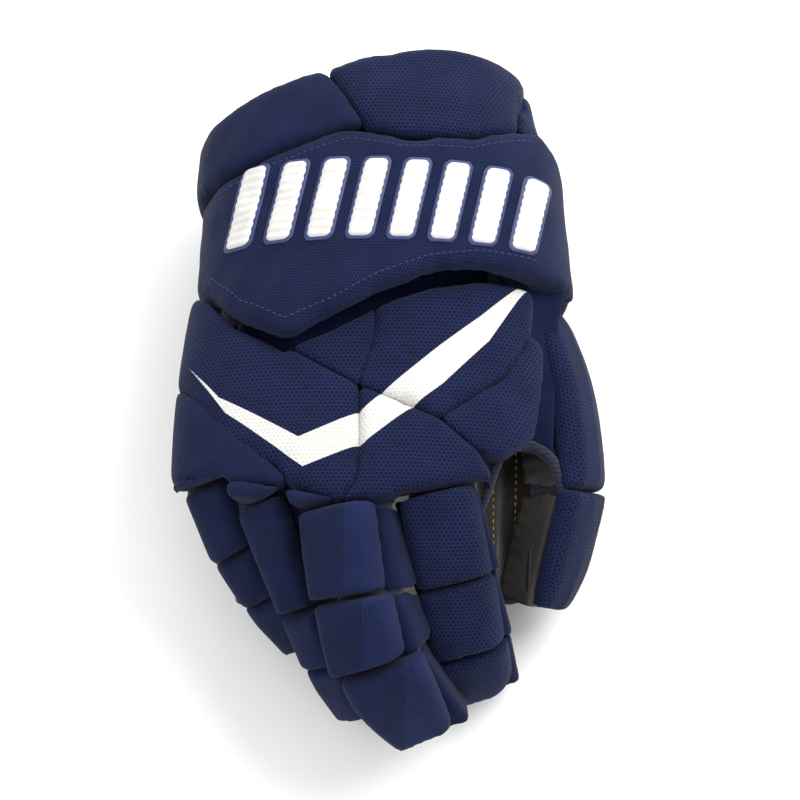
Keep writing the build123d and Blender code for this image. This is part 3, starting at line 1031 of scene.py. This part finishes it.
class GLOVE_OT_band_trim(bpy.types.Operator):
    """Plain ribbed bars moulded on the band, and the rows of stitching along its edges."""

    bl_idname = "glove.band_trim"
    bl_label = "Band trim"

    bars: IntProperty(name="Bars", description="How many bars the band carries", default=8, min=1)

    def execute(self, context):
        band = bpy.data.objects["band"]
        for index in range(self.bars):
            x = FIRST_BAR + index * BAR_STEP
            for name, grow, height, material in (("edge", 1.3, 0.7, "edge"), ("face", 0, 1.5, "rubber")):
                bar = self.bar(f"bar_{name}_{index}", band, x, grow, height)
                finish_piece(bar, "cuff", [], material)
        for name, path in SEAMS.items():
            thread = stitches(name, [band], [(x, y, BAND_TOP) for x, y in path], "navy thread", pitch=3.0)
            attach(thread, "cuff")
        return {"FINISHED"}

    def bar(self, name, band, x, grow, height):
        """Slanted bar with round corners that follows the band, its face ribbed across."""
        rows = []
        for step in range(BAR_ROWS + 1):
            part = step / BAR_ROWS
            y = BAR_LOW - grow + (BAR_HIGH - BAR_LOW + 2 * grow) * part
            end = min(part, 1 - part)
            half = (BAR_WIDTH / 2 + grow) * (1 - 0.35 * max(0, 1 - end * 12) ** 2)
            row = []
            for column in range(BAR_COLUMNS + 1):
                share = column / BAR_COLUMNS - 0.5
                place_x = x + BAR_SLANT * (y - BAR_LOW) + 2 * half * share
                hit = surface_at([band], (place_x, y + BAR_FALL * x, BAND_TOP))
                if hit is None:
                    raise RuntimeError(f"{name} reaches past the band")
                rib = RIB_HEIGHT * sin(y * RIB_RATE) if not grow else 0
                lift = (height + rib) * (1 if abs(share) < 0.45 and 0 < part < 1 else 0.2)
                row.append(tuple((hit[0] + hit[1] * lift * MM) / MM))
            rows.append(row)
        return sheet_piece(name, rows, BAR_WALL)


# ------------------------------------------------------------------ stage
# Square soft boxes: name, place and size in metres, power in watts
LAMPS = (("key", (0.9, 0.5, 1.2), 0.9, 20), ("fill", (-0.9, -0.5, 1.0), 1.4, 7),
         ("rim", (0.1, 1.0, 0.7), 0.9, 7))
CAMERA_TARGET, CAMERA_DISTANCE, CAMERA_ELEVATION = (0, 0, 0.055), 1.3, 70
CAMERA_SHIFT = (0.015, 0.004)
FIELD_WIDTH = 372 * MM    # what the camera sees across, at its target


class GLOVE_OT_stage(bpy.types.Operator):
    """Pale floor, soft studio light and the camera."""

    bl_idname = "glove.stage"
    bl_label = "Stage"

    def execute(self, context):
        bpy.ops.object.select_all(action="DESELECT")
        bpy.ops.mesh.primitive_plane_add(size=12, location=(0, 0, -0.0002))
        floor = context.object
        floor.name = "floor"
        bpy.ops.object.transform_apply(location=True, rotation=True, scale=True)
        material, _, shader = new_material("Matt studio paper")
        shader.inputs["Base Color"].default_value = (0.9, 0.9, 0.9, 1)
        shader.inputs["Roughness"].default_value = 0.9
        floor.data.materials.append(material)
        for lamp in LAMPS:
            self.lamp(*lamp)
        world = bpy.data.worlds.new("studio")
        context.scene.world = world
        world.use_nodes = True
        background = world.node_tree.nodes["Background"]
        background.inputs["Color"].default_value = (1, 1, 1, 1)
        background.inputs["Strength"].default_value = 0.9
        context.scene.view_settings.view_transform = "Standard"
        self.camera(context)
        return {"FINISHED"}

    def lamp(self, name, place, size, power):
        """Square soft box that faces the glove."""
        data = bpy.data.lights.new(name, "AREA")
        data.size, data.energy = size, power
        lamp = bpy.data.objects.new(name, data)
        bpy.context.scene.collection.objects.link(lamp)
        lamp.location = place
        lamp.rotation_euler = (Vector((0, 0, 0.05)) - Vector(place)).to_track_quat("-Z", "Y").to_euler()

    def camera(self, context):
        """Long lens over the fingertips, looking down at the backhand."""
        target, elevation = Vector(CAMERA_TARGET), CAMERA_ELEVATION * pi / 180
        place = target + Vector((0, -cos(elevation), sin(elevation))) * CAMERA_DISTANCE
        data = bpy.data.cameras.new("camera")
        data.lens = data.sensor_width * CAMERA_DISTANCE / FIELD_WIDTH
        data.shift_x, data.shift_y = CAMERA_SHIFT
        camera = bpy.data.objects.new("camera", data)
        context.scene.collection.objects.link(camera)
        camera.location = place
        camera.rotation_euler = (target - place).to_track_quat("-Z", "Y").to_euler()
        context.scene.camera = camera


class GLOVE_PT_panel(bpy.types.Panel):
    """Lists the glove's steps and settings."""

    bl_label = "Hockey glove"
    bl_space_type = "VIEW_3D"
    bl_region_type = "UI"
    bl_category = "Glove"

    def draw(self, context):
        for group in (context.scene.glove_cloth, context.scene.glove_padding):
            for name in group.__annotations__:
                self.layout.prop(group, name)
        for step in STEPS:
            self.layout.operator(step.bl_idname)


STEPS = (GLOVE_OT_stage, GLOVE_OT_digit_pads, GLOVE_OT_digit_stalls, GLOVE_OT_joint_gussets,
         GLOVE_OT_backhand, GLOVE_OT_palm, GLOVE_OT_cuff, GLOVE_OT_thumb_web, GLOVE_OT_band_trim)
CLASSES = (GloveCloth, GlovePadding, *STEPS, GLOVE_PT_panel)


def register():
    for item in CLASSES:
        bpy.utils.register_class(item)
    bpy.types.Scene.glove_cloth = bpy.props.PointerProperty(type=GloveCloth)
    bpy.types.Scene.glove_padding = bpy.props.PointerProperty(type=GlovePadding)


def unregister():
    del bpy.types.Scene.glove_padding
    del bpy.types.Scene.glove_cloth
    for item in reversed(CLASSES):
        bpy.utils.unregister_class(item)


def main():
    register()
    bpy.ops.glove.stage()
    bpy.ops.glove.digit_pads()
    bpy.ops.glove.digit_stalls()
    bpy.ops.glove.joint_gussets()
    bpy.ops.glove.backhand()
    bpy.ops.glove.palm()
    bpy.ops.glove.cuff()
    bpy.ops.glove.thumb_web()
    bpy.ops.glove.band_trim()


if __name__ == "__main__":
    main()
